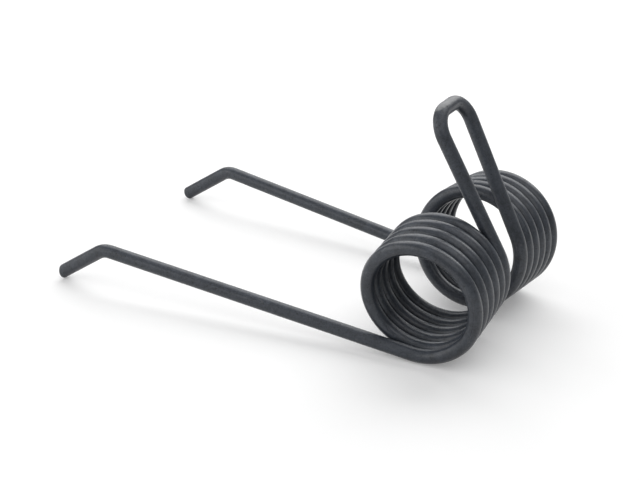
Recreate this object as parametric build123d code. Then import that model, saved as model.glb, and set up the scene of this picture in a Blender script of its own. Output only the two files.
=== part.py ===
from build123d import *
from math import asin, atan2, cos, degrees, hypot, pi, radians, sin, tan
import os

# A double torsion spring tine, bent from one length of round spring wire.
# Sizes are in millimetres and angles in degrees.
# The origin lies midway between the two coils, on the axis of the straight shaft that
# fits through both. The arms reach towards -X, the shaft lies along Y and Z is up.
# The tine stands on its two outer turns and on the ends of its two bent tips.

# Driving dimensions of the wire and the coils
wire_diameter = 4.0
coil_inner_diameter = 28.0
turn_clearance = 0.1
full_turns = 5

# Driving dimensions of the loop between the coils
arm_to_leg_angle = 55.5
leg_gap = 9.0
leg_length = 34.5
leg_spread = 3.5
loop_bend_radius = 6.3

# Driving dimensions of the arms and their tips
arm_length = 96.3
arm_toe_in = 1.6
arm_root_radius = 60.0
tip_bend = 41.3
tip_bend_radius = 6.4
tip_length = 20.0
near_tip_slant = 18.0
far_tip_slant = 4.0
tip_edge_round = 0.5

# Sizes that follow from the driving dimensions
wire_radius = wire_diameter / 2
coil_radius = coil_inner_diameter / 2 + wire_radius
turn_pitch = wire_diameter + turn_clearance
helix_angle = degrees(atan2(turn_pitch, 2 * pi * coil_radius))
start_angle = -90.0
end_angle = 360.0 * full_turns + 90.0 - arm_to_leg_angle
coil_length = turn_pitch * (end_angle - start_angle) / 360
inner_end = -(leg_gap / 2 + wire_radius)
outer_end = inner_end - coil_length

# The wire runs on straight from each coil into its leg, so the legs' spread cants the coils
coil_cant = leg_spread + helix_angle

inwards = Vector(0, 1, 0)
upwards = Vector(0, 0, 1)


def spoke(angle):
    """Direction from the coil axis to a place round the near coil, before it is canted."""
    return Vector(cos(radians(angle)), 0, sin(radians(angle)))


def square_to(heading, side):
    """The part of a direction that is square to the wire's heading."""
    return (side - heading * side.dot(heading)).normalized()


def straight(start, heading, length):
    """A straight run of the wire's middle line."""
    return Line(start, start + heading * length)


def curve(start, heading, side, radius, angle):
    """A bend of the wire's middle line towards one side, tangent to its heading."""
    towards = square_to(heading, side)
    centre = start + towards * radius

    def place(turned):
        out = heading * sin(radians(turned)) - towards * cos(radians(turned))
        return centre + out * radius

    return ThreePointArc(start, place(angle / 2), place(angle))


def near_coil():
    """The near coil's middle line, from the arm to the loop: a left-hand helix about Y."""
    outer_face = Plane(origin=(0, outer_end, 0), x_dir=spoke(start_angle), z_dir=inwards)
    return outer_face * Helix(turn_pitch, coil_length, coil_radius, lefthand=True)


def near_arm(coil):
    """The near arm's middle line, from the coil outwards: root, run, bend and tip."""
    bend_set_back = tip_bend_radius * tan(radians(tip_bend / 2))
    root = curve(coil @ 0, -(coil % 0), inwards, arm_root_radius, arm_toe_in)
    run = straight(root @ 1, root % 1, arm_length - bend_set_back)
    bend = curve(run @ 1, run % 1, -upwards, tip_bend_radius, tip_bend)
    tip = straight(bend @ 1, bend % 1, tip_length - bend_set_back)
    return [root, run, bend, tip]


def near_leg(coil):
    """The near half of the loop: the leg, its bend and half of the short bridge between the bends."""
    leg = straight(coil @ 1, coil % 1, leg_length)
    bend = curve(leg @ 1, leg % 1, inwards, loop_bend_radius, 90 + leg_spread)
    bridge = straight(bend @ 1, bend % 1, -(bend @ 1).Y)
    return [leg, bend, bridge]


def tip_heel(tip):
    """The lower corner of a tip's sheared end, at the tip's full length."""
    return tip @ 1 - square_to(tip % 1, upwards) * wire_radius


def shear_cut(tip, slant):
    """The waste beyond a tip's sheared end, which slants back from the heel."""
    heading = tip % 1
    rise = square_to(heading, upwards)
    face = heading * cos(radians(slant)) + rise * sin(radians(slant))
    width = 4 * wire_diameter
    waste = Box(width, width, width, align=(Align.CENTER, Align.CENTER, Align.MIN))
    return Plane(origin=tip_heel(tip), z_dir=face) * waste


def heel_round_middle(tip, slant):
    """The middle of the small round at a tip's heel."""
    heading = tip % 1
    rise = square_to(heading, upwards)
    back = (1 + sin(radians(slant))) / cos(radians(slant))
    return tip_heel(tip) + (rise - heading * back) * tip_edge_round


def standing_tilt(tip, turn_middle):
    """Angle that lays the underside of the outer turn and the far tip's heel level."""
    reach = turn_middle - heel_round_middle(tip, far_tip_slant)
    to_middle = atan2(reach.Z, reach.X)
    drop = coil_radius + wire_radius - tip_edge_round
    return degrees(to_middle - asin(drop / hypot(reach.X, reach.Z)))


def half_wire(path, tip, slant):
    """Half of the wire, from a sheared tip to the middle of the loop's bridge."""
    section = Plane(path @ 0, x_dir=square_to(path % 0, upwards), z_dir=path % 0) * Circle(wire_radius)
    half = sweep(section, path) - shear_cut(tip, slant)
    sheared_end = half.faces().filter_by(GeomType.PLANE).sort_by(Axis.X)[0]
    return fillet(sheared_end.edges(), tip_edge_round)


def spring_tine():
    """The whole tine, standing on the floor."""
    coil = near_coil()
    arm = near_arm(coil)

    # Coil and arm are canted together about the spoke through the coil's inner end
    cant_axis = Axis(coil @ 1, spoke(end_angle))
    coil = coil.rotate(cant_axis, coil_cant)
    arm = [stretch.rotate(cant_axis, coil_cant) for stretch in arm]
    outer_turn_middle = coil @ 0 - spoke(start_angle).rotate(cant_axis, coil_cant) * coil_radius

    # The two halves of the wire meet in the middle of the bridge
    tip = arm[-1]
    path = Wire([*reversed(arm), coil, *near_leg(coil)])
    near_half = half_wire(path, tip, near_tip_slant)
    far_half = half_wire(path, tip, far_tip_slant).mirror(Plane.XZ)
    wire = near_half + far_half

    # The shaft's axis runs halfway between the middles of the inner and the outer turns
    tilt = standing_tilt(tip, outer_turn_middle)
    shaft = outer_turn_middle.rotate(Axis.Y, tilt) / 2
    return Pos(-shaft.X, 0, -shaft.Z) * wire.rotate(Axis.Y, tilt)


os.makedirs("parts", exist_ok=True)
tine = spring_tine()
tine.label = "spring_tine"
export_step(tine, "parts/spring_tine.step")
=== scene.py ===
"""A scarifier spring tine: its wire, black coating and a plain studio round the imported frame.

The wire's middle line is worked out from named sizes as straight runs, bends and helices,
and a Geometry Nodes tree lays the round wire along it and crops its two tips.
Every length is in metres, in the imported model's own frame.
"""

from math import asin, atan2, ceil, cos, hypot, pi, radians, sin, tan

import bpy
from bpy.props import FloatProperty, FloatVectorProperty, IntProperty, PointerProperty
from mathutils import Matrix, Vector


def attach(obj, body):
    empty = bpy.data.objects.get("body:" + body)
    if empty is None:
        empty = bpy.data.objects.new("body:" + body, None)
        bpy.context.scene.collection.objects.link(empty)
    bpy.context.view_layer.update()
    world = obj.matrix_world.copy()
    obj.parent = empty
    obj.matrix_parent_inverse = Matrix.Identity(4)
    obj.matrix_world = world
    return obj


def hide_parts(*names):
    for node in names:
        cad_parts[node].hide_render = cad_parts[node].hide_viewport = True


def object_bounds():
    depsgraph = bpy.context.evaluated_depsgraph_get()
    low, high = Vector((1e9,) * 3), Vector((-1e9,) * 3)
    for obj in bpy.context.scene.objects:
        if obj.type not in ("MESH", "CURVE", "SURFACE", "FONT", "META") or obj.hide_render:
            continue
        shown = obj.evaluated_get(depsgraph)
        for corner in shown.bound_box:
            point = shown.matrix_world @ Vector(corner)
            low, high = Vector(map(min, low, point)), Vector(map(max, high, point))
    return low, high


bl_info = {
    "name": "Scarifier Spring Tine",
    "version": (1, 0, 0),
    "blender": (4, 5, 0),
    "location": "View3D > Sidebar > Spring Tine",
    "description": "Bends a double torsion spring tine and sets its studio",
    "category": "Add Mesh",
}

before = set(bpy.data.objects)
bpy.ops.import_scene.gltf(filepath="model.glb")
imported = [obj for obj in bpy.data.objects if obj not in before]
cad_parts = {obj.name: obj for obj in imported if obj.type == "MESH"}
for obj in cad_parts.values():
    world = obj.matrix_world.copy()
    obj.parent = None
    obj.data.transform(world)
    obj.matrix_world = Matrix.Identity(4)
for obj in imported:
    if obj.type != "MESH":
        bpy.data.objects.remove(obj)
cad_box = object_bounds()

CAD_NODE = "spring_tine"
COATING_SLOT = "black_coating"
MILLIMETRE = 0.001

# Directions in the frame: towards the far half of the tine, and up
INWARDS = Vector((0, 1, 0))
UPWARDS = Vector((0, 0, 1))

# Rings of mesh on each rounded tip edge, and the reach of the slanted end in wire diameters
EDGE_RINGS = 8
CROP_REACH = 1.5

# Corners of a face on the wire's side; its flat ends have more
QUAD_CORNERS = 4

# Sockets whose names occur more than once on their node, by their places on it
MIX_FACTOR, MIX_FIRST, MIX_SECOND, MIX_RESULT = 0, 6, 7, 2
COMPARE_FIRST, COMPARE_SECOND = 2, 3
NODE_SPACING = 180

# Attributes that the wire's mesh hands to its coating
WIRE_PLACE = "wire_place"
FROM_TIP = "from_tip"

# Features of the coating's patterns in a metre; the last two run along the wire and round it
MOTTLE_PER_METRE = (260.0, 260.0, 260.0)
BLOTCHES_PER_METRE = (900.0, 900.0, 900.0)
PITS_PER_METRE = (1500.0, 1500.0, 1500.0)
GRAIN_PER_METRE = (2600.0, 2600.0, 2600.0)
STREAKS_PER_METRE = (70.0, 2200.0, 2200.0)
SCUFFS_PER_METRE = (380.0, 1300.0, 1300.0)
NOISE_MEAN = 0.5

# Noise values between which a pit, a scuff and a scuffed patch come in
PIT_RISE = (0.66, 0.72)
SCUFF_RISE = (0.62, 0.72)
PATCH_RISE = (0.45, 0.6)

# Metres over which the loop's crown (rubbed wear and a painted highlight on its top), the rubbed end edges
# and the wound stretch come in, and how far the borders of these lighter places wander
CROWN_WEAR_AND_SHEEN_RISE = (0.0006, 0.001)
END_EDGE_RISE = (0.0006, 0.0002)
RUB_AND_SHEEN_WANDER = 0.0004
WINDING_OUTSIDE = 0.006
WINDING_INSIDE = 0.004

# How strongly each pattern shows in the colour and the roughness
END_EDGE_WEAR = 0.6
# The lighter places, the loop's crown with its painted highlight among them, are made uneven by these two
LEAST_RUB_AND_SHEEN = 0.35
RUB_AND_SHEEN_PER_BLOTCH = 0.9
SCUFF_WEAR = 0.35
GRAIN_SHARE = 1.2
# The pits' darkening of the colour is painted shade in these recesses
PIT_PAINTED_SHADE = 0.4
PIT_ROUGHENING = 0.2

# How strongly each pattern shows in the relief
GRAIN_RELIEF = 0.6
STREAK_RELIEF = 0.25
BLOTCH_RELIEF = 0.5
PIT_RELIEF = 0.5
RELIEF_STRENGTH = 0.6
COATING_IOR = 1.5

# The floor's sides, its roughness and its clearance under the tine
FLOOR_SIDES = 96
FLOOR_ROUGHNESS = 0.9
FLOOR_CLEARANCE = 0.05 * MILLIMETRE

# Where the surround is brightest, and what the softboxes are turned to
SURROUND_BRIGHT_SIDE = (0.6, 0.2, 0.77)
TINE_MIDDLE = (0.0, 0.0, 0.0)
ARM_MIDDLE = (-0.06, -0.03, 0.0)
WHITE = (1.0, 1.0, 1.0, 1.0)

# The sensor's width in millimetres, and the camera's nearest and furthest sight
SENSOR_WIDTH = 36.0
NEAR_SIGHT = 0.01
FAR_SIGHT = 50.0


def length_property(name, description, millimetres, least=0.01):
    """A length of the tine, shown to the user as a distance."""
    return FloatProperty(
        name=name,
        description=description,
        default=millimetres * MILLIMETRE,
        min=least * MILLIMETRE,
        precision=5,
        unit="LENGTH",
        subtype="DISTANCE",
    )


def angle_property(name, description, angle):
    """An angle of the tine or of the studio, given in degrees."""
    return FloatProperty(
        name=name,
        description=description,
        default=radians(angle),
        unit="ROTATION",
        subtype="ANGLE",
    )


def share_property(name, description, share):
    """A plain number from nothing to one."""
    return FloatProperty(name=name, description=description, default=share, min=0.0, max=1.0, precision=4)


def colour_property(name, description, colour):
    """A colour of the coating or of the floor."""
    return FloatVectorProperty(
        name=name,
        description=description,
        default=colour,
        size=3,
        min=0.0,
        max=1.0,
        subtype="COLOR",
    )


def power_property(name, description, watts):
    """The power of a softbox."""
    return FloatProperty(
        name=name,
        description=description,
        default=watts,
        min=0.0,
        unit="POWER",
        subtype="POWER",
    )


class TineSizes(bpy.types.PropertyGroup):
    """The driving dimensions of the bent wire"""

    wire_diameter: length_property("Wire Diameter", "Thickness of the spring wire", 4.0)
    coil_inner_diameter: length_property("Coil Bore", "Bore of each close-wound coil", 28.0)
    turn_clearance: length_property("Turn Clearance", "Air between neighbouring turns", 0.1)
    full_turns: IntProperty(name="Full Turns", description="Whole turns in each coil", default=5, min=1)
    arm_to_leg_angle: angle_property("Arm to Leg Angle", "Angle between an arm and its leg", 55.5)
    leg_gap: length_property("Leg Gap", "Space between the legs where they leave the coils", 9.0)
    leg_length: length_property("Leg Length", "Straight run of each leg", 34.5)
    leg_spread: angle_property("Leg Spread", "Angle by which each leg leaves the middle", 3.5)
    loop_bend_radius: length_property("Loop Bend Radius", "Radius of the two bends that close the loop", 6.3)
    arm_length: length_property("Arm Length", "From the root bend to the corner of the tip", 96.3)
    arm_toe_in: angle_property("Arm Toe-in", "Angle by which each arm turns inwards", 1.6)
    arm_root_radius: length_property("Arm Root Radius", "Radius of the bend at the arm's root", 60.0)
    tip_bend: angle_property("Tip Bend", "Angle by which each tip is bent down", 41.3)
    tip_bend_radius: length_property("Tip Bend Radius", "Radius of the tip's bend", 6.4)
    tip_length: length_property("Tip Length", "From the corner of the tip to its end", 20.0)
    near_tip_slant: angle_property("Near Tip Slant", "Slant of the near tip's sheared end", 18.0)
    far_tip_slant: angle_property("Far Tip Slant", "Slant of the far tip's sheared end", 4.0)
    tip_edge_round: length_property("Tip Edge Round", "Round on the sheared ends' edges", 0.5)
    ring_spacing: length_property("Ring Spacing", "Distance between rings of the wire's mesh", 0.8)
    wire_sides: IntProperty(
        name="Wire Sides", description="Sides of the round wire's mesh", default=32, min=8
    )


class CoatingFinish(bpy.types.PropertyGroup):
    """The black coating's colour and surface"""

    colour: colour_property("Coating Colour", "Colour of the coating", (0.045, 0.052, 0.065))
    # This lighter colour also paints the highlight on the loop's crown, besides the rubbed places
    worn_and_sheen_colour: colour_property("Worn Colour", "Colour where the coating is rubbed", (0.17, 0.175, 0.182))
    colour_variation: share_property("Colour Variation", "How far the colour strays from its mean", 0.5)
    roughness: share_property("Roughness", "Mean roughness of the coating", 0.4)
    roughness_variation: share_property(
        "Roughness Variation", "How far the roughness strays from its mean", 0.14
    )
    coil_polish: share_property("Coil Polish", "How much smoother the wire is where it was wound", 0.08)
    texture_depth: length_property("Texture Depth", "Height of the coating's fine texture", 0.03, 0.0)


class StudioSettings(bpy.types.PropertyGroup):
    """The camera, floor and lights"""

    camera_place: FloatVectorProperty(
        name="Camera Place",
        description="Where the camera stands",
        default=(0.14931, -0.34842, 0.18601),
        size=3,
        precision=5,
        unit="LENGTH",
        subtype="TRANSLATION",
    )
    camera_azimuth: angle_property(
        "Camera Azimuth", "Camera's angle round the tine from its near side", 29.141
    )
    camera_elevation: angle_property("Camera Elevation", "Camera's angle above the horizon", 25.502)
    camera_roll: angle_property("Camera Roll", "Camera's turn about its line of sight", 0.342)
    camera_lens: FloatProperty(
        name="Lens",
        description="Focal length on a sensor 36 mm wide",
        default=84.54,
        subtype="DISTANCE_CAMERA",
    )
    floor_radius: length_property("Floor Radius", "Radius of the round floor", 3000.0)
    floor_colour: colour_property("Floor Colour", "Colour of the floor", (0.8, 0.8, 0.8))
    floor_lift: share_property("Floor Lift", "Glow that whitens the floor where it is looked at", 0.2)
    floor_bounce: share_property("Floor Bounce", "Share of the floor's light that reaches the tine", 0.3)
    surround_level: share_property("Surround Level", "Strength of the even light from all round", 0.19)
    surround_lean: share_property(
        "Surround Lean", "How much brighter the surround is on its bright side", 0.8
    )
    back_power: power_property("Back Power", "Power of the softbox behind the tine", 12.0)
    top_power: power_property("Top Power", "Power of the softbox above the tine", 2.8)
    side_power: power_property("Side Power", "Power of the softbox on the side of the tips", 5.4)


def coil_radius(sizes):
    """Radius of a coil's middle line."""
    return (sizes.coil_inner_diameter + sizes.wire_diameter) / 2


def coil_pitch(sizes):
    """Distance from one turn of a coil to the next."""
    return sizes.wire_diameter + sizes.turn_clearance


def tip_set_back(sizes):
    """Distance from the corner of a tip to either end of its bend."""
    return sizes.tip_bend_radius * tan(sizes.tip_bend / 2)


def spoke(angle):
    """Direction from the coil's axis to a place round the near coil, before it is canted."""
    return Vector((cos(angle), 0, sin(angle)))


def square_to(heading, side):
    """The part of a direction that is square to the wire's heading."""
    return (side - heading * side.dot(heading)).normalized()


class WireLine:
    """The wire's middle line, drawn stretch by stretch from one end."""

    def __init__(self, start, heading, spacing):
        self.points = [start]
        self.heading = heading
        self.spacing = spacing

    def straight(self, length):
        """Runs on straight ahead."""
        start = self.points[-1]
        steps = max(1, ceil(length / self.spacing))
        self.points += [start + self.heading * (length * (i + 1) / steps) for i in range(steps)]

    def bend(self, side, radius, angle):
        """Bends towards one side, tangent to the heading."""
        heading = self.heading
        towards = square_to(heading, side)
        centre = self.points[-1] + towards * radius
        steps = max(2, ceil(radius * angle / self.spacing))
        for i in range(steps):
            turned = angle * (i + 1) / steps
            self.points.append(centre + (heading * sin(turned) - towards * cos(turned)) * radius)
        self.heading = heading * cos(angle) + towards * sin(angle)


def near_coil(sizes):
    """The near coil's middle line before it is canted, its headings at both ends, and its cant."""
    radius = coil_radius(sizes)
    pitch = coil_pitch(sizes)
    helix_angle = atan2(pitch, 2 * pi * radius)
    start_angle = -pi / 2
    end_angle = 2 * pi * sizes.full_turns + pi / 2 - sizes.arm_to_leg_angle
    inner_end = -(sizes.leg_gap + sizes.wire_diameter) / 2

    def place(angle):
        return spoke(angle) * radius + INWARDS * (inner_end - pitch * (end_angle - angle) / (2 * pi))

    def heading(angle):
        ahead = Vector((-sin(angle), 0, cos(angle)))
        return ahead * cos(helix_angle) + INWARDS * sin(helix_angle)

    steps = ceil(radius * (end_angle - start_angle) / sizes.ring_spacing)
    angles = [start_angle + (end_angle - start_angle) * i / steps for i in range(steps + 1)]
    cant = Matrix.Rotation(sizes.leg_spread + helix_angle, 3, spoke(end_angle))
    return [place(angle) for angle in angles], heading(start_angle), heading(end_angle), cant


def near_arm(sizes, start, heading):
    """The near arm's middle line from the coil outwards: root, run, bend and tip."""
    set_back = tip_set_back(sizes)
    arm = WireLine(start, heading, sizes.ring_spacing)
    arm.bend(INWARDS, sizes.arm_root_radius, sizes.arm_toe_in)
    arm.straight(sizes.arm_length - set_back)
    arm.bend(-UPWARDS, sizes.tip_bend_radius, sizes.tip_bend)
    arm.straight(sizes.tip_length - set_back - sizes.tip_edge_round)
    edge_start = arm.points[-1]
    for i in range(EDGE_RINGS):
        reach = sin(pi / 2 * (i + 1) / EDGE_RINGS)
        arm.points.append(edge_start + arm.heading * (sizes.tip_edge_round * reach))
    return arm


def near_leg(sizes, start, heading):
    """The near half of the loop: the leg, its bend and half of the short bridge."""
    leg = WireLine(start, heading, sizes.ring_spacing)
    leg.straight(sizes.leg_length)
    leg.bend(INWARDS, sizes.loop_bend_radius, pi / 2 + sizes.leg_spread)
    leg.straight(-leg.points[-1].y)
    return leg


def near_half(sizes):
    """The near half of the wire's middle line, from its tip to the middle of the loop's bridge."""
    coil, arm_heading, leg_heading, cant = near_coil(sizes)
    arm = near_arm(sizes, coil[0], -arm_heading)
    outer_middle = coil[0] + UPWARDS * coil_radius(sizes)
    pivot = coil[-1]

    def canted(point):
        return pivot + cant @ (point - pivot)

    leg = near_leg(sizes, pivot, cant @ leg_heading)
    outwards = [canted(point) for point in arm.points[:0:-1] + coil]
    loop_heading = square_to(INWARDS, leg.points[-1] - pivot)
    return outwards + leg.points[1:], cant @ arm.heading, canted(outer_middle), loop_heading


def standing(sizes, tip_end, tip_heading, outer_middle):
    """The turn about the shaft and the shift that stand the tine on its coils and tips."""
    wire_radius = sizes.wire_diameter / 2
    rise = square_to(tip_heading, UPWARDS)
    slant = sizes.far_tip_slant
    back = (1 + sin(slant)) / cos(slant)
    heel = tip_end - rise * wire_radius
    heel_round = heel + (rise - tip_heading * back) * sizes.tip_edge_round
    reach = outer_middle - heel_round
    drop = coil_radius(sizes) + wire_radius - sizes.tip_edge_round
    tilt = atan2(reach.z, reach.x) - asin(drop / hypot(reach.x, reach.z))
    turn = Matrix.Rotation(tilt, 3, "Y")
    shaft = turn @ outer_middle / 2
    return turn, Vector((-shaft.x, 0, -shaft.z))


def wire_line(sizes):
    """The whole middle line, from the near tip to the far tip, as the tine stands."""
    half, tip_heading, outer_middle, loop_heading = near_half(sizes)
    turn, shift = standing(sizes, half[0], tip_heading, outer_middle)
    near = [turn @ point + shift for point in half]
    far = [Vector((point.x, -point.y, point.z)) for point in reversed(near[:-1])]
    return near + far, turn @ UPWARDS, turn @ loop_heading


def coil_stretch(sizes):
    """Where the coil's winding starts and ends along the wire, measured from the tip."""
    tip = sizes.tip_length - tip_set_back(sizes) + sizes.tip_bend_radius * sizes.tip_bend
    arm = sizes.arm_length - tip_set_back(sizes) + sizes.arm_root_radius * sizes.arm_toe_in
    turns = sizes.full_turns + (pi - sizes.arm_to_leg_angle) / (2 * pi)
    start = tip + arm
    return start, start + turns * hypot(2 * pi * coil_radius(sizes), coil_pitch(sizes))


class Tree:
    """Adds and links nodes in one node tree."""

    def __init__(self, tree):
        self.tree = tree
        self.column = 0

    def node(self, kind, inputs=None, **settings):
        """A node with its settings, its inputs set to values or linked to sockets."""
        node = self.tree.nodes.new(kind)
        node.location = (self.column * NODE_SPACING, 0)
        self.column += 1
        for name, value in settings.items():
            setattr(node, name, value)
        for name, value in (inputs or {}).items():
            self.put(node.inputs[name], value)
        return node

    def put(self, socket, value):
        """Gives an input a plain value or another node's output."""
        if isinstance(value, bpy.types.NodeSocket):
            self.tree.links.new(value, socket)
        else:
            socket.default_value = value

    def math(self, operation, first, second=None, clamp=False):
        """The output of a Math node on one or two numbers or sockets."""
        node = self.node("ShaderNodeMath", {0: first}, operation=operation, use_clamp=clamp)
        if second is not None:
            self.put(node.inputs[1], second)
        return node.outputs[0]

    def vector(self, operation, first, second=None):
        """The output of a Vector Math node; a scaling takes a number second."""
        node = self.node("ShaderNodeVectorMath", {0: first}, operation=operation)
        if second is not None:
            self.put(node.inputs["Scale" if operation == "SCALE" else 1], second)
        return node.outputs["Value" if operation == "DOT_PRODUCT" else "Vector"]


def add_tree_input(tree, name, kind, subtype="NONE"):
    """Gives a node tree a named input."""
    socket = tree.interface.new_socket(name, in_out="INPUT", socket_type=kind)
    if subtype != "NONE":
        socket.subtype = subtype


def wire_tree():
    """The tree that lays a round wire along a line and crops both of its tips."""
    tree = bpy.data.node_groups.new("Cropped Wire", "GeometryNodeTree")
    add_tree_input(tree, "Wire Line", "NodeSocketGeometry")
    add_tree_input(tree, "Wire Diameter", "NodeSocketFloat", "DISTANCE")
    add_tree_input(tree, "Wire Sides", "NodeSocketInt")
    add_tree_input(tree, "Edge Round", "NodeSocketFloat", "DISTANCE")
    add_tree_input(tree, "Near Slant", "NodeSocketFloat", "ANGLE")
    add_tree_input(tree, "Far Slant", "NodeSocketFloat", "ANGLE")
    add_tree_input(tree, "Crop Reach", "NodeSocketFloat", "DISTANCE")
    add_tree_input(tree, "Up", "NodeSocketVector")
    add_tree_input(tree, "Coating", "NodeSocketMaterial")
    tree.interface.new_socket("Wire", in_out="OUTPUT", socket_type="NodeSocketGeometry")
    make = Tree(tree)
    given = make.node("NodeGroupInput").outputs
    wire_radius = make.math("MULTIPLY", given["Wire Diameter"], 0.5)

    # Places along the line, measured from either tip
    line = make.node("GeometryNodeMeshToCurve", {"Mesh": given["Wire Line"]}).outputs["Curve"]
    along = make.node("GeometryNodeSplineParameter").outputs["Length"]
    whole = make.node("GeometryNodeSplineLength").outputs["Length"]
    from_far = make.math("SUBTRACT", whole, along)
    from_tip = make.math("MINIMUM", along, from_far)

    # What each ring of the wire remembers of the line
    remembered = make.node("GeometryNodeCaptureAttribute", {"Geometry": line}, domain="POINT")
    sources = {
        "Along": ("FLOAT", along),
        "From Far": ("FLOAT", from_far),
        "From Tip": ("FLOAT", from_tip),
        "Middle": ("VECTOR", make.node("GeometryNodeInputPosition").outputs[0]),
        "Heading": ("VECTOR", make.node("GeometryNodeInputTangent").outputs[0]),
    }
    for name, (kind, source) in sources.items():
        remembered.capture_items.new(kind, name)
        make.put(remembered.inputs[name], source)
    ring = remembered.outputs

    # The round section, narrowed towards each tip's end for its rounded edge
    section = make.node(
        "GeometryNodeCurvePrimitiveCircle",
        {"Resolution": given["Wire Sides"], "Radius": wire_radius},
    ).outputs["Curve"]
    rounding = make.node("GeometryNodeCaptureAttribute", {"Geometry": section}, domain="POINT")
    rounding.capture_items.new("VECTOR", "Round")
    make.put(rounding.inputs["Round"], make.node("GeometryNodeInputPosition").outputs[0])
    inside = make.math("DIVIDE", ring["From Tip"], given["Edge Round"], clamp=True)
    short = make.math("SUBTRACT", 1.0, inside)
    bow = make.math("SQRT", make.math("SUBTRACT", 1.0, make.math("MULTIPLY", short, short)))
    loss = make.math("MULTIPLY", given["Edge Round"], make.math("SUBTRACT", 1.0, bow))
    width = make.math("SUBTRACT", 1.0, make.math("DIVIDE", loss, wire_radius))
    wire = make.node(
        "GeometryNodeCurveToMesh",
        {
            "Curve": ring["Geometry"],
            "Profile Curve": rounding.outputs["Geometry"],
            "Scale": width,
            "Fill Caps": True,
        },
    ).outputs["Mesh"]

    # Each tip's end slants back from its heel, which keeps the full length
    heading = ring["Heading"]
    level = make.vector("SCALE", heading, make.vector("DOT_PRODUCT", given["Up"], heading))
    rise = make.vector("NORMALIZE", make.vector("SUBTRACT", given["Up"], level))
    position = make.node("GeometryNodeInputPosition").outputs[0]
    outwards = make.vector("SUBTRACT", position, ring["Middle"])
    height = make.math("ADD", make.vector("DOT_PRODUCT", outwards, rise), wire_radius)
    shares = []
    for distance, slant in ((ring["Along"], "Near Slant"), (ring["From Far"], "Far Slant")):
        fade = make.math("SUBTRACT", 1.0, make.math("DIVIDE", distance, given["Crop Reach"], clamp=True))
        shares.append(make.math("MULTIPLY", fade, make.math("TANGENT", given[slant])))
    set_back = make.math("MULTIPLY", height, make.math("SUBTRACT", *shares))
    offset = make.vector("SCALE", heading, set_back)
    cropped = make.node("GeometryNodeSetPosition", {"Geometry": wire, "Offset": offset})

    # Attributes for the coating, smooth sides and flat ends
    place = make.node("ShaderNodeSeparateXYZ", {0: rounding.outputs["Round"]}).outputs
    joined = make.node("ShaderNodeCombineXYZ", {0: ring["Along"], 1: place[0], 2: place[1]}).outputs[0]
    stored = make.node(
        "GeometryNodeStoreNamedAttribute",
        {"Geometry": cropped.outputs[0], "Name": WIRE_PLACE},
        data_type="FLOAT_VECTOR",
        domain="POINT",
    )
    make.put(stored.inputs["Value"], joined)
    stored = make.node(
        "GeometryNodeStoreNamedAttribute",
        {"Geometry": stored.outputs[0], "Name": FROM_TIP, "Value": ring["From Tip"]},
        data_type="FLOAT",
        domain="POINT",
    )
    smooth = make.node("GeometryNodeSetShadeSmooth", {"Geometry": stored.outputs[0]})
    corners = make.node("GeometryNodeCornersOfFace").outputs["Total"]
    is_end = make.node(
        "FunctionNodeCompare",
        {COMPARE_FIRST: corners, COMPARE_SECOND: QUAD_CORNERS},
        data_type="INT",
        operation="GREATER_THAN",
    )
    flat = make.node(
        "GeometryNodeSetShadeSmooth",
        {"Geometry": smooth.outputs[0], "Selection": is_end.outputs[0], "Shade Smooth": False},
    )
    single = make.node("GeometryNodeRealizeInstances", {"Geometry": flat.outputs[0]})
    coated = make.node(
        "GeometryNodeSetMaterial", {"Geometry": single.outputs[0], "Material": given["Coating"]}
    )
    make.node("NodeGroupOutput", {"Wire": coated.outputs[0]})
    return tree


def set_tree_inputs(modifier, values):
    """Sets a modifier's inputs by their sockets' identifiers."""
    for item in modifier.node_group.interface.items_tree:
        if item.item_type == "SOCKET" and item.in_out == "INPUT" and item.name in values:
            modifier[item.identifier] = values[item.name]


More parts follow.
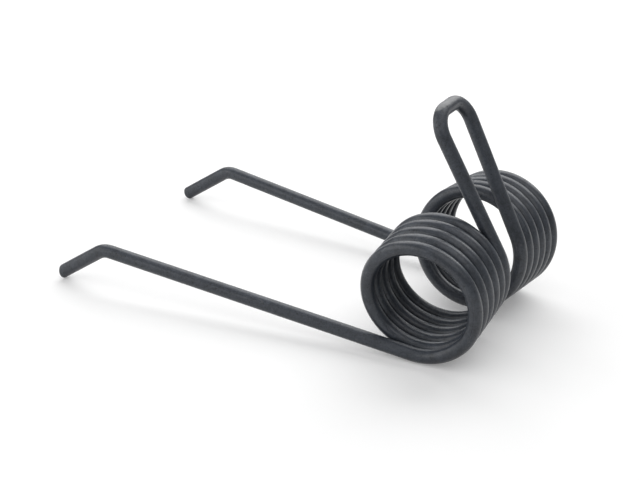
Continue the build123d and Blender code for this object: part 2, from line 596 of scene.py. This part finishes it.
def coating_material(finish, loop_end, loop_heading, coil_start, coil_end):
    """Satin black coating with fine grain, drawn streaks, mottling, pits, scuffs, rubbed places and a
    painted highlight on the loop's crown.
    """
    material = bpy.data.materials.new(COATING_SLOT)
    material.use_nodes = True
    material.node_tree.nodes.clear()
    make = Tree(material.node_tree)

    def attribute(name, output):
        node = make.node("ShaderNodeAttribute", attribute_name=name, attribute_type="GEOMETRY")
        return node.outputs[output]

    def noise(place, per_metre, detail=2.0, roughness=0.5):
        inputs = {
            "Vector": make.vector("MULTIPLY", place, per_metre),
            "Scale": 1.0,
            "Detail": detail,
            "Roughness": roughness,
        }
        return make.node("ShaderNodeTexNoise", inputs).outputs["Fac"]

    def rise(value, low, high):
        inputs = {"Value": value, "From Min": low, "From Max": high}
        return make.node("ShaderNodeMapRange", inputs, interpolation_type="SMOOTHSTEP").outputs[0]

    def swing(pattern, reach):
        """A pattern's stray from its mean, as far as reach on either side."""
        return make.math("MULTIPLY", make.math("SUBTRACT", pattern, NOISE_MEAN), 2.0 * reach)

    def share(pattern, strength):
        return make.math("MULTIPLY", pattern, strength)

    at = make.node("ShaderNodeTexCoord").outputs["Object"]
    on_wire = attribute(WIRE_PLACE, "Vector")
    from_tip = attribute(FROM_TIP, "Fac")

    mottle = noise(at, MOTTLE_PER_METRE, detail=3.0)
    blotches = noise(at, BLOTCHES_PER_METRE, detail=3.0, roughness=0.6)
    grain = noise(at, GRAIN_PER_METRE)
    streaks = noise(on_wire, STREAKS_PER_METRE)

    # Small pits in the coating, darkened in colour as painted shade in them, and patches of short scuffs
    # along the wire
    pits = rise(noise(at, PITS_PER_METRE, detail=1.0), *PIT_RISE)
    scuffs = rise(noise(on_wire, SCUFFS_PER_METRE, roughness=0.6), *SCUFF_RISE)
    scuffs = make.math("MULTIPLY", scuffs, rise(mottle, *PATCH_RISE))

    # The crown of the loop is painted lighter, partly as rubbed wear and partly as a painted highlight on
    # its top; the edges of the sheared ends are rubbed
    from_loop_end = make.vector("SUBTRACT", at, tuple(loop_end))
    beyond = make.vector("DOT_PRODUCT", from_loop_end, tuple(loop_heading))
    wander = swing(blotches, RUB_AND_SHEEN_WANDER)
    crown_wear_and_sheen = rise(make.math("ADD", beyond, wander), *CROWN_WEAR_AND_SHEEN_RISE)
    end_edge = rise(make.math("ADD", from_tip, wander), *END_EDGE_RISE)
    rub_and_sheen = make.math("MAXIMUM", crown_wear_and_sheen, share(end_edge, END_EDGE_WEAR))
    uneven = make.math("ADD", LEAST_RUB_AND_SHEEN, share(blotches, RUB_AND_SHEEN_PER_BLOTCH))
    rub_and_sheen = make.math("MULTIPLY", rub_and_sheen, uneven, clamp=True)
    # This mask carries the painted highlight on the crown as well as the real wear and scuffs
    wear_and_sheen = make.math("MAXIMUM", rub_and_sheen, share(scuffs, SCUFF_WEAR))

    spread = finish.colour_variation
    stray = make.math("ADD", swing(mottle, spread), swing(blotches, spread))
    stray = make.math("ADD", stray, swing(grain, GRAIN_SHARE * spread))
    # The pits' colour is darkened as painted shade in the recesses
    pit_shaded = make.math("SUBTRACT", 1.0, share(pits, PIT_PAINTED_SHADE))
    tone = make.math("MULTIPLY", make.math("ADD", 1.0, stray), pit_shaded)
    coat = make.vector("SCALE", tuple(finish.colour), tone)
    # The lighter colour paints both the rubbed wear and the crown's highlight
    worn_and_sheen = (*finish.worn_and_sheen_colour, 1.0)
    mix = {MIX_FACTOR: wear_and_sheen, MIX_FIRST: coat, MIX_SECOND: worn_and_sheen}
    colour = make.node("ShaderNodeMix", mix, data_type="RGBA").outputs[MIX_RESULT]

    # The wire is smoother between the start and the end of each coil's winding
    wound = rise(from_tip, coil_start - WINDING_OUTSIDE, coil_start + WINDING_INSIDE)
    past = rise(from_tip, coil_end - WINDING_INSIDE, coil_end + WINDING_OUTSIDE)
    polish = share(make.math("SUBTRACT", wound, past), finish.coil_polish)
    rough = make.math("ADD", finish.roughness, swing(streaks, finish.roughness_variation))
    rough = make.math("SUBTRACT", rough, polish)
    rough = make.math("ADD", rough, share(pits, PIT_ROUGHENING))

    relief = make.math("ADD", share(grain, GRAIN_RELIEF), share(streaks, STREAK_RELIEF))
    relief = make.math("ADD", relief, share(blotches, BLOTCH_RELIEF))
    relief = make.math("SUBTRACT", relief, share(pits, PIT_RELIEF))
    bump = make.node(
        "ShaderNodeBump",
        {"Height": relief, "Strength": RELIEF_STRENGTH, "Distance": finish.texture_depth},
    )
    surface = make.node(
        "ShaderNodeBsdfPrincipled",
        {
            "Base Color": colour,
            "Metallic": 0.0,
            "Roughness": rough,
            "IOR": COATING_IOR,
            "Normal": bump.outputs["Normal"],
        },
    )
    make.node("ShaderNodeOutputMaterial", {"Surface": surface.outputs[0]})
    return material


class TINE_OT_bend_wire(bpy.types.Operator):
    """Bend the wire with its coils, loop, arms and tips, and coat it"""

    bl_idname = "tine.bend_wire"
    bl_label = "Bend Wire"

    def execute(self, context):
        sizes = context.scene.tine_sizes
        points, up, loop_heading = wire_line(sizes)
        loop_end = points[len(points) // 2]
        finish = context.scene.tine_coating
        coating = coating_material(finish, loop_end, loop_heading, *coil_stretch(sizes))
        line = bpy.data.meshes.new("wire_line")
        line.from_pydata(points, [(i, i + 1) for i in range(len(points) - 1)], [])
        bender = bpy.data.objects.new("wire_bender", line)
        context.scene.collection.objects.link(bender)
        modifier = bender.modifiers.new("Cropped Wire", "NODES")
        modifier.node_group = wire_tree()
        set_tree_inputs(
            modifier,
            {
                "Wire Diameter": sizes.wire_diameter,
                "Wire Sides": sizes.wire_sides,
                "Edge Round": sizes.tip_edge_round,
                "Near Slant": sizes.near_tip_slant,
                "Far Slant": sizes.far_tip_slant,
                "Crop Reach": CROP_REACH * sizes.wire_diameter,
                "Up": up,
                "Coating": coating,
            },
        )
        depsgraph = context.evaluated_depsgraph_get()
        mesh = bpy.data.meshes.new_from_object(bender.evaluated_get(depsgraph))
        if not mesh.polygons:
            raise RuntimeError("the wire's tree made no faces")
        mesh.name = "wire_tine"
        bpy.data.objects.remove(bender)
        bpy.data.meshes.remove(line)
        tine = bpy.data.objects.new("wire_tine", mesh)
        context.scene.collection.objects.link(tine)
        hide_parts(CAD_NODE)
        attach(tine, "root")
        return {"FINISHED"}


def floor_material(settings):
    """Plain pale floor that keeps the shadow, shows nearly white and gives back little light."""
    material = bpy.data.materials.new("pale_floor")
    material.use_nodes = True
    material.node_tree.nodes.clear()
    make = Tree(material.node_tree)
    rays = make.node("ShaderNodeLightPath").outputs
    seen = make.math("MAXIMUM", rays["Is Camera Ray"], rays["Is Glossy Ray"])
    seen = make.math("MAXIMUM", seen, rays["Is Transmission Ray"])
    lift = make.math("MULTIPLY", seen, settings.floor_lift)
    shown = make.math("MAXIMUM", seen, settings.floor_bounce)
    colour = make.vector("SCALE", tuple(settings.floor_colour), shown)
    surface = make.node(
        "ShaderNodeBsdfPrincipled",
        {
            "Base Color": colour,
            "Roughness": FLOOR_ROUGHNESS,
            "Specular IOR Level": 0.0,
            "Emission Color": WHITE,
            "Emission Strength": lift,
        },
    )
    make.node("ShaderNodeOutputMaterial", {"Surface": surface.outputs[0]})
    return material


def studio_world(settings):
    """Plain light from all round, stronger above and on one side."""
    world = bpy.data.worlds.new("studio_surround")
    world.use_nodes = True
    world.node_tree.nodes.clear()
    make = Tree(world.node_tree)
    ray = make.node("ShaderNodeTexCoord").outputs["Generated"]
    facing = make.vector("DOT_PRODUCT", ray, SURROUND_BRIGHT_SIDE)
    level = make.math("ADD", 1.0, make.math("MULTIPLY", facing, settings.surround_lean))
    level = make.math("MULTIPLY", level, settings.surround_level)
    surround = make.node("ShaderNodeBackground", {"Color": WHITE, "Strength": level})
    make.node("ShaderNodeOutputWorld", {"Surface": surround.outputs[0]})
    return world


def softbox(name, place, aim, size, power):
    """A rectangular softbox at a place, turned to a point."""
    light = bpy.data.lights.new(name, "AREA")
    light.shape = "RECTANGLE"
    light.size, light.size_y = size
    light.energy = power
    lamp = bpy.data.objects.new(name, light)
    bpy.context.scene.collection.objects.link(lamp)
    lamp.location = place
    lamp.visible_camera = False
    lamp.rotation_euler = (Vector(aim) - Vector(place)).to_track_quat("-Z", "Y").to_euler()


def camera_turn(azimuth, elevation, roll):
    """The camera's orientation from its azimuth, elevation and roll."""
    back = Vector((sin(azimuth) * cos(elevation), -cos(azimuth) * cos(elevation), sin(elevation)))
    right = Vector((cos(azimuth), sin(azimuth), 0))
    up = back.cross(right)
    rolled_right = right * cos(roll) + up * sin(roll)
    rolled_up = up * cos(roll) - right * sin(roll)
    return Matrix((rolled_right, rolled_up, back)).transposed()


class TINE_OT_set_studio(bpy.types.Operator):
    """Lay the pale floor, hang the softboxes and place the camera"""

    bl_idname = "tine.set_studio"
    bl_label = "Set Studio"

    def execute(self, context):
        scene = context.scene
        settings = scene.tine_studio
        low, _ = cad_box

        bpy.ops.mesh.primitive_circle_add(
            vertices=FLOOR_SIDES,
            radius=settings.floor_radius,
            fill_type="NGON",
            location=(0, 0, low.z - FLOOR_CLEARANCE),
        )
        floor = context.active_object
        floor.name = "studio_floor"
        floor.data.materials.append(floor_material(settings))

        scene.world = studio_world(settings)
        softbox(
            "back_softbox",
            place=(-0.22, 0.70, 0.68),
            aim=TINE_MIDDLE,
            size=(1.6, 0.96),
            power=settings.back_power,
        )
        softbox(
            "top_softbox",
            place=(0.35, -0.35, 0.85),
            aim=TINE_MIDDLE,
            size=(1.0, 1.0),
            power=settings.top_power,
        )
        softbox(
            "side_panel",
            place=(-0.78, -0.60, 0.39),
            aim=ARM_MIDDLE,
            size=(1.5, 0.72),
            power=settings.side_power,
        )

        camera = bpy.data.objects.new("camera", bpy.data.cameras.new("camera"))
        scene.collection.objects.link(camera)
        camera.data.lens = settings.camera_lens
        camera.data.sensor_width = SENSOR_WIDTH
        camera.data.clip_start = NEAR_SIGHT
        camera.data.clip_end = FAR_SIGHT
        turn = camera_turn(settings.camera_azimuth, settings.camera_elevation, settings.camera_roll)
        camera.matrix_world = Matrix.Translation(settings.camera_place) @ turn.to_4x4()
        scene.camera = camera
        scene.view_settings.view_transform = "Standard"
        return {"FINISHED"}


class TINE_PT_panel(bpy.types.Panel):
    """Lists the tine's operators and settings"""

    bl_label = "Spring Tine"
    bl_idname = "TINE_PT_panel"
    bl_space_type = "VIEW_3D"
    bl_region_type = "UI"
    bl_category = "Spring Tine"

    def draw(self, context):
        scene = context.scene
        for operator, group in (
            ("tine.bend_wire", scene.tine_sizes),
            (None, scene.tine_coating),
            ("tine.set_studio", scene.tine_studio),
        ):
            box = self.layout.box()
            for name in group.__annotations__:
                box.prop(group, name)
            if operator:
                box.operator(operator)


CLASSES = (TineSizes, CoatingFinish, StudioSettings, TINE_OT_bend_wire, TINE_OT_set_studio, TINE_PT_panel)


def register():
    """Adds the settings, operators and panel to Blender."""
    for kind in CLASSES:
        bpy.utils.register_class(kind)
    bpy.types.Scene.tine_sizes = PointerProperty(type=TineSizes)
    bpy.types.Scene.tine_coating = PointerProperty(type=CoatingFinish)
    bpy.types.Scene.tine_studio = PointerProperty(type=StudioSettings)


def unregister():
    """Takes them out again."""
    del bpy.types.Scene.tine_studio
    del bpy.types.Scene.tine_coating
    del bpy.types.Scene.tine_sizes
    for kind in reversed(CLASSES):
        bpy.utils.unregister_class(kind)


def main():
    """Builds the tine and its studio."""
    register()
    bpy.ops.tine.bend_wire()
    bpy.ops.tine.set_studio()
    bpy.context.view_layer.update()


if __name__ == "__main__":
    main()
